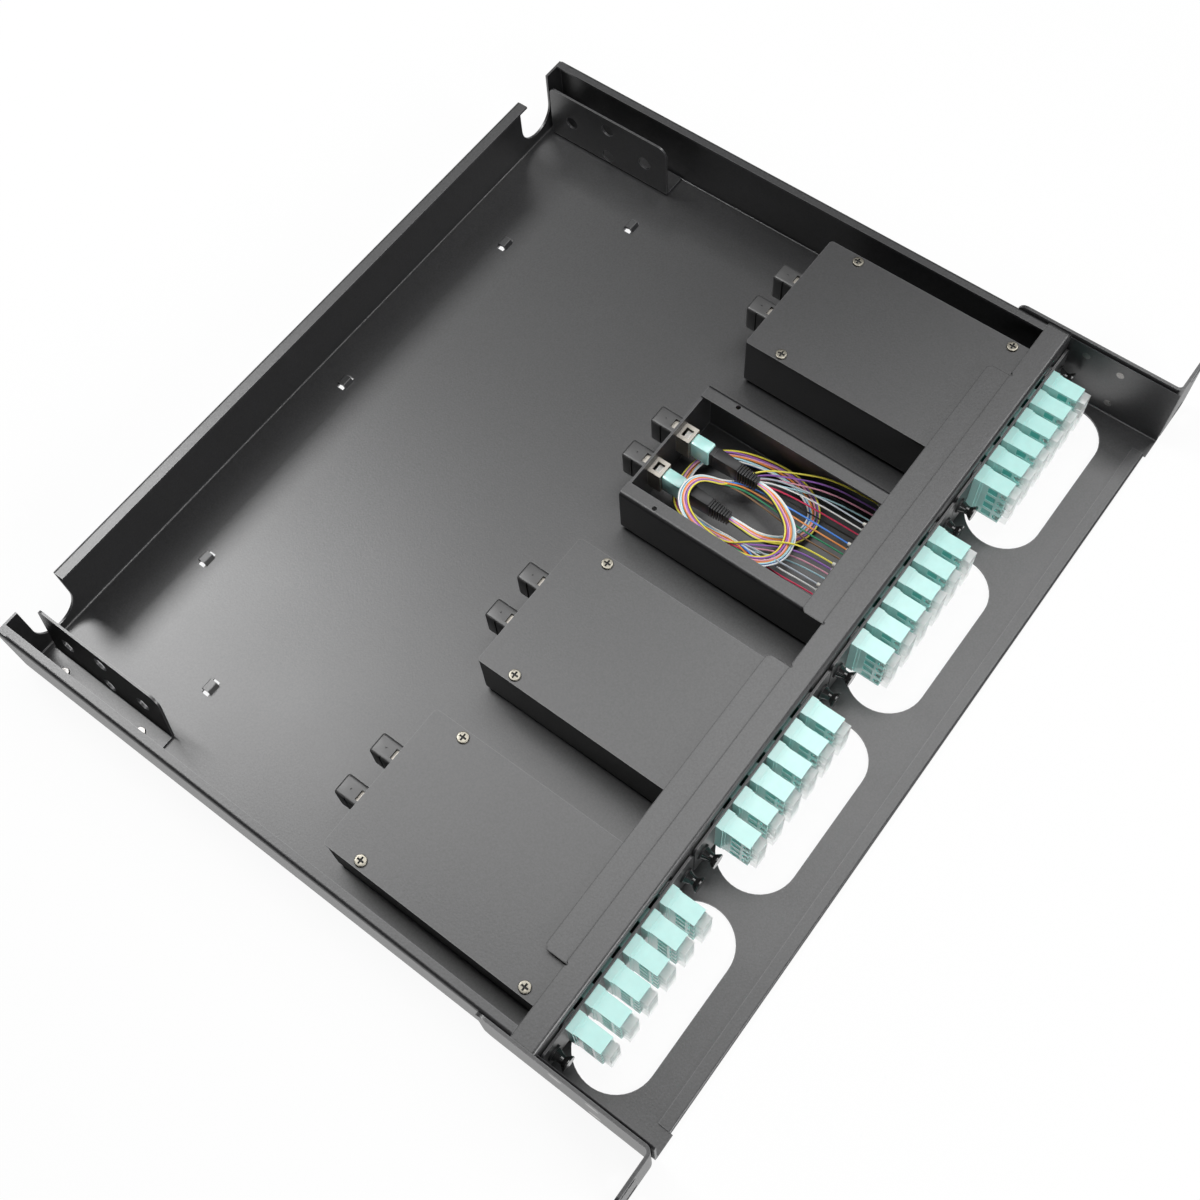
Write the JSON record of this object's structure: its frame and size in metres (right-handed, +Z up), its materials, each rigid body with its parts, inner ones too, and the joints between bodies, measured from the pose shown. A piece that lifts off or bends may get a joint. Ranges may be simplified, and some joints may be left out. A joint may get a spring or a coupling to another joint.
{
  "type": "optical distribution frame",
  "caption": "Flat open-top rack tray with folded ears, a crossbar and four slide-in fibre cassettes with stacked front ports, capped rear ports and one cassette open.",
  "frame": {"origin": "middle of the footprint on the underside of the tray", "axes": "+X to the right seen from the front, +Y to the rear, +Z up"},
  "size_m": [0.4826, 0.38, 0.0436],
  "materials": {
    "powder_coat": "fine matt textured black powder coat",
    "cassette_coat": "matt black coat, slightly smoother than the tray",
    "bright_steel": "nickel plated, slightly worn",
    "dark_screws": "black oxide",
    "aqua_plastic": "pale aqua moulded plastic",
    "clear_plastic": "milky translucent plastic",
    "black_plastic": "black nylon",
    "adapter_metal": "dark moulded sleeve with a bright spring clip",
    "plug_plastic": "aqua push-pull shells on black bodies with ribbed black boots",
    "fibre_jacket": "coloured fibre jackets",
    "cap_rubber": "soft black moulded rubber"
  },
  "bodies": {
    "chassis": {"base_tray": "powder_coat", "front_crossbar": "powder_coat", "rack_ear_left": "powder_coat", "rack_ear_right": "powder_coat", "ear_screws": "dark_screws", "cable_bracket_left": "powder_coat", "cable_bracket_right": "powder_coat", "bracket_rivets": "bright_steel"},
    "cassette_1": {"cassette_1_case": "cassette_coat", "cassette_1_lid": "cassette_coat", "cassette_1_lid_screws": "bright_steel", "cassette_1_front_adapters": "aqua_plastic", "cassette_1_latch_sleeves": "black_plastic", "cassette_1_rear_adapters": "adapter_metal", "cassette_1_fibre_plugs": "plug_plastic", "cassette_1_fibre_harness": "fibre_jacket"},
    "cassette_1_latch_left_body": {"cassette_1_latch_left": "black_plastic"},
    "cassette_1_latch_right_body": {"cassette_1_latch_right": "black_plastic"},
    "cassette_1_rear_cap_left_body": {"cassette_1_rear_cap_left": "cap_rubber"},
    "cassette_1_rear_cap_right_body": {"cassette_1_rear_cap_right": "cap_rubber"},
    "cassette_1_front_port_caps_body": {"cassette_1_front_port_caps": "clear_plastic"},
    "cassette_2": {"cassette_2_case": "cassette_coat", "cassette_2_lid": "cassette_coat", "cassette_2_lid_screws": "bright_steel", "cassette_2_front_adapters": "aqua_plastic", "cassette_2_latch_sleeves": "black_plastic", "cassette_2_rear_adapters": "adapter_metal", "cassette_2_fibre_plugs": "plug_plastic", "cassette_2_fibre_harness": "fibre_jacket"},
    "cassette_2_latch_left_body": {"cassette_2_latch_left": "black_plastic"},
    "cassette_2_latch_right_body": {"cassette_2_latch_right": "black_plastic"},
    "cassette_2_rear_cap_left_body": {"cassette_2_rear_cap_left": "cap_rubber"},
    "cassette_2_rear_cap_right_body": {"cassette_2_rear_cap_right": "cap_rubber"},
    "cassette_2_front_port_caps_body": {"cassette_2_front_port_caps": "clear_plastic"},
    "cassette_3": {"cassette_3_case": "cassette_coat", "cassette_3_front_adapters": "aqua_plastic", "cassette_3_latch_sleeves": "black_plastic", "cassette_3_rear_adapters": "adapter_metal", "cassette_3_fibre_plugs": "plug_plastic", "cassette_3_fibre_harness": "fibre_jacket"},
    "cassette_3_latch_left_body": {"cassette_3_latch_left": "black_plastic"},
    "cassette_3_latch_right_body": {"cassette_3_latch_right": "black_plastic"},
    "cassette_3_rear_cap_left_body": {"cassette_3_rear_cap_left": "cap_rubber"},
    "cassette_3_rear_cap_right_body": {"cassette_3_rear_cap_right": "cap_rubber"},
    "cassette_3_front_port_caps_body": {"cassette_3_front_port_caps": "clear_plastic"},
    "cassette_4": {"cassette_4_case": "cassette_coat", "cassette_4_lid": "cassette_coat", "cassette_4_lid_screws": "bright_steel", "cassette_4_front_adapters": "aqua_plastic", "cassette_4_latch_sleeves": "black_plastic", "cassette_4_rear_adapters": "adapter_metal", "cassette_4_fibre_plugs": "plug_plastic", "cassette_4_fibre_harness": "fibre_jacket"},
    "cassette_4_latch_left_body": {"cassette_4_latch_left": "black_plastic"},
    "cassette_4_latch_right_body": {"cassette_4_latch_right": "black_plastic"},
    "cassette_4_rear_cap_left_body": {"cassette_4_rear_cap_left": "cap_rubber"},
    "cassette_4_rear_cap_right_body": {"cassette_4_rear_cap_right": "cap_rubber"},
    "cassette_4_front_port_caps_body": {"cassette_4_front_port_caps": "clear_plastic"}
  },
  "joints": [
    {"name": "cassette_1_slide", "type": "slide", "parent": "chassis", "child": "cassette_1", "axis": [0, -1, 0], "range_m": [0, 0.13]},
    {"name": "cassette_1_latch_left_pull", "type": "slide", "parent": "cassette_1", "child": "cassette_1_latch_left_body", "axis": [0, -1, 0], "range_m": [0, 0.0045]},
    {"name": "cassette_1_latch_right_pull", "type": "slide", "parent": "cassette_1", "child": "cassette_1_latch_right_body", "axis": [0, -1, 0], "range_m": [0, 0.0045]},
    {"name": "cassette_1_rear_cap_left_pull", "type": "slide", "parent": "cassette_1", "child": "cassette_1_rear_cap_left_body", "axis": [0, 1, 0], "range_m": [0, 0.012]},
    {"name": "cassette_1_rear_cap_right_pull", "type": "slide", "parent": "cassette_1", "child": "cassette_1_rear_cap_right_body", "axis": [0, 1, 0], "range_m": [0, 0.012]},
    {"name": "cassette_1_front_caps_pull", "type": "slide", "parent": "cassette_1", "child": "cassette_1_front_port_caps_body", "axis": [0, -1, 0], "range_m": [0, 0.012]},
    {"name": "cassette_2_slide", "type": "slide", "parent": "chassis", "child": "cassette_2", "axis": [0, -1, 0], "range_m": [0, 0.13]},
    {"name": "cassette_2_latch_left_pull", "type": "slide", "parent": "cassette_2", "child": "cassette_2_latch_left_body", "axis": [0, -1, 0], "range_m": [0, 0.0045]},
    {"name": "cassette_2_latch_right_pull", "type": "slide", "parent": "cassette_2", "child": "cassette_2_latch_right_body", "axis": [0, -1, 0], "range_m": [0, 0.0045]},
    {"name": "cassette_2_rear_cap_left_pull", "type": "slide", "parent": "cassette_2", "child": "cassette_2_rear_cap_left_body", "axis": [0, 1, 0], "range_m": [0, 0.012]},
    {"name": "cassette_2_rear_cap_right_pull", "type": "slide", "parent": "cassette_2", "child": "cassette_2_rear_cap_right_body", "axis": [0, 1, 0], "range_m": [0, 0.012]},
    {"name": "cassette_2_front_caps_pull", "type": "slide", "parent": "cassette_2", "child": "cassette_2_front_port_caps_body", "axis": [0, -1, 0], "range_m": [0, 0.012]},
    {"name": "cassette_3_slide", "type": "slide", "parent": "chassis", "child": "cassette_3", "axis": [0, -1, 0], "range_m": [0, 0.13]},
    {"name": "cassette_3_latch_left_pull", "type": "slide", "parent": "cassette_3", "child": "cassette_3_latch_left_body", "axis": [0, -1, 0], "range_m": [0, 0.0045]},
    {"name": "cassette_3_latch_right_pull", "type": "slide", "parent": "cassette_3", "child": "cassette_3_latch_right_body", "axis": [0, -1, 0], "range_m": [0, 0.0045]},
    {"name": "cassette_3_rear_cap_left_pull", "type": "slide", "parent": "cassette_3", "child": "cassette_3_rear_cap_left_body", "axis": [0, 1, 0], "range_m": [0, 0.012]},
    {"name": "cassette_3_rear_cap_right_pull", "type": "slide", "parent": "cassette_3", "child": "cassette_3_rear_cap_right_body", "axis": [0, 1, 0], "range_m": [0, 0.012]},
    {"name": "cassette_3_front_caps_pull", "type": "slide", "parent": "cassette_3", "child": "cassette_3_front_port_caps_body", "axis": [0, -1, 0], "range_m": [0, 0.012]},
    {"name": "cassette_4_slide", "type": "slide", "parent": "chassis", "child": "cassette_4", "axis": [0, -1, 0], "range_m": [0, 0.13]},
    {"name": "cassette_4_latch_left_pull", "type": "slide", "parent": "cassette_4", "child": "cassette_4_latch_left_body", "axis": [0, -1, 0], "range_m": [0, 0.0045]},
    {"name": "cassette_4_latch_right_pull", "type": "slide", "parent": "cassette_4", "child": "cassette_4_latch_right_body", "axis": [0, -1, 0], "range_m": [0, 0.0045]},
    {"name": "cassette_4_rear_cap_left_pull", "type": "slide", "parent": "cassette_4", "child": "cassette_4_rear_cap_left_body", "axis": [0, 1, 0], "range_m": [0, 0.012]},
    {"name": "cassette_4_rear_cap_right_pull", "type": "slide", "parent": "cassette_4", "child": "cassette_4_rear_cap_right_body", "axis": [0, 1, 0], "range_m": [0, 0.012]},
    {"name": "cassette_4_front_caps_pull", "type": "slide", "parent": "cassette_4", "child": "cassette_4_front_port_caps_body", "axis": [0, -1, 0], "range_m": [0, 0.012]}
  ]
}
